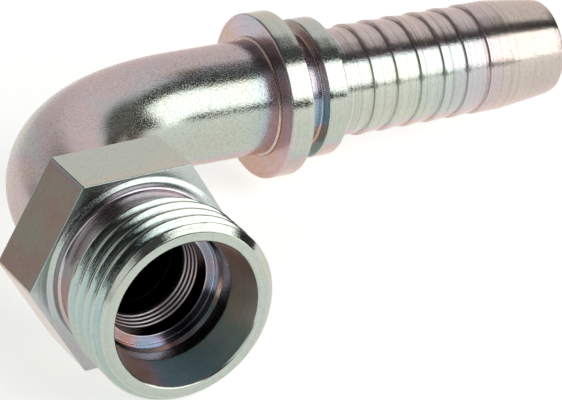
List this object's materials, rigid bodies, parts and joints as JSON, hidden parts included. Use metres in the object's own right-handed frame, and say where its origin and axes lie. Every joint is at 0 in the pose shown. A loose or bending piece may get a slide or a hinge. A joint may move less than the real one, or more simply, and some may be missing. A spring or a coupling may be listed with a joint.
{
  "type": "hydraulic hose end elbow",
  "caption": "Right-angle hydraulic hose end: a bent steel tube brazed between a male metric stud with a 24 degree cone and a barbed crimp tail.",
  "frame": {"origin": "centre of the tube stop, the shoulder inside the stud, on the stud axis", "axes": "-Y out of the stud's mouth, +X along the hose axis towards the tail's tip, +Z square to both"},
  "size_m": [0.075, 0.049, 0.0194],
  "materials": {
    "body_zinc": "turned steel, bright zinc plate with a clear iridescent passivate",
    "tube_zinc": "drawn tube, satin zinc plate with a faint green and pink passivate",
    "tail_zinc": "turned steel with fine tool marks, zinc plate with an iridescent passivate",
    "braze": "plated braze fillet with a coppery tint"
  },
  "bodies": {
    "root": {"threaded_body": "body_zinc", "bent_tube": "tube_zinc", "hose_tail": "tail_zinc", "body_braze": "braze", "tail_braze": "braze"}
  },
  "joints": []
}
